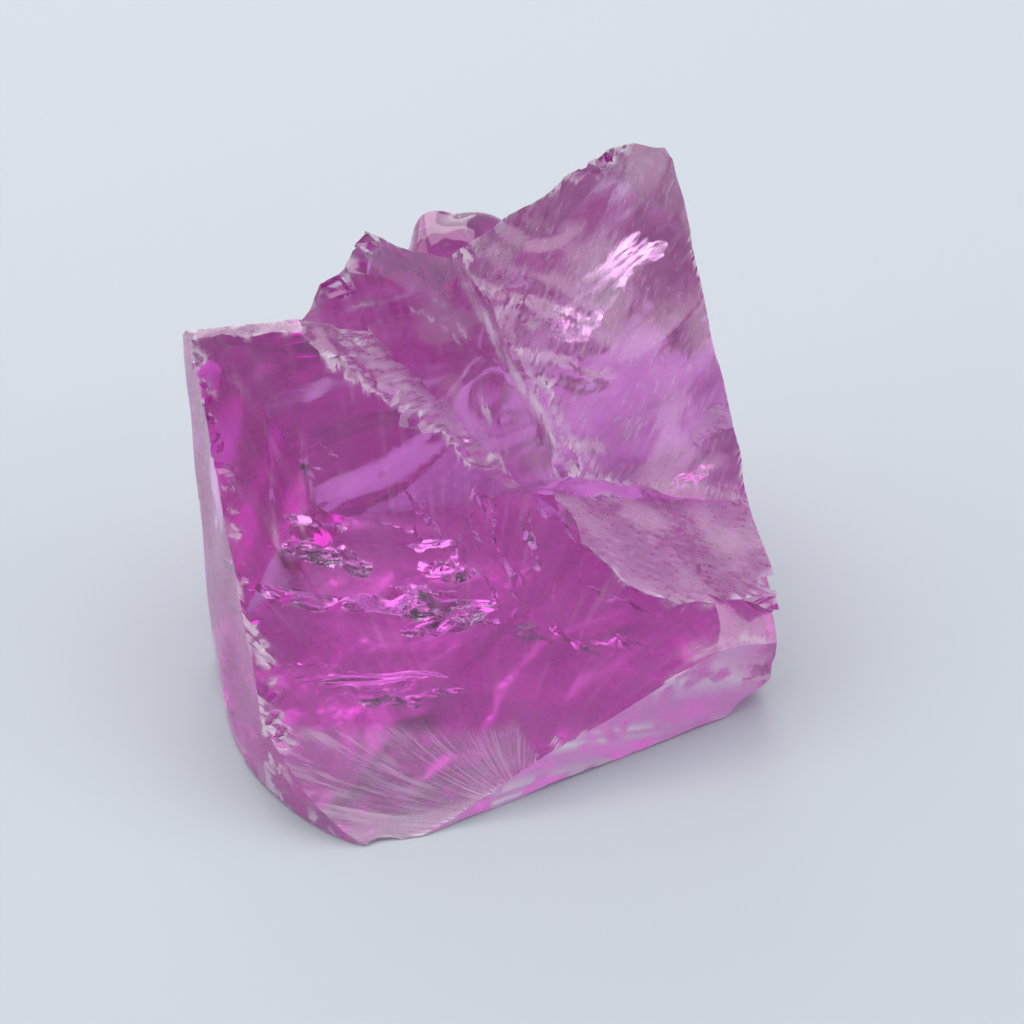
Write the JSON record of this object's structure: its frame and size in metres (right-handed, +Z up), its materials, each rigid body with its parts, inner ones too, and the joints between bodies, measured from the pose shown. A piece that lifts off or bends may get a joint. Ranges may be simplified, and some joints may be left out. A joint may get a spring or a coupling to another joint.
{
  "type": "rough zircon",
  "caption": "Rough piece of clear pink zircon with flat growth sides, slanting glassy breaks, a stepped groove and chipped edges, lying on a flat face.",
  "frame": {"origin": "on the flat resting face, near its middle", "axes": "+Z up out of the resting face, -Y towards the blunt nose, +X towards the taller block"},
  "size_m": [0.0317, 0.0308, 0.0252],
  "materials": {
    "zircon": "clear pink crystal, glassy on the front break, frosted on the ridges, ledges and growth sides"
  },
  "bodies": {
    "root": {"zircon": "zircon"}
  },
  "joints": []
}
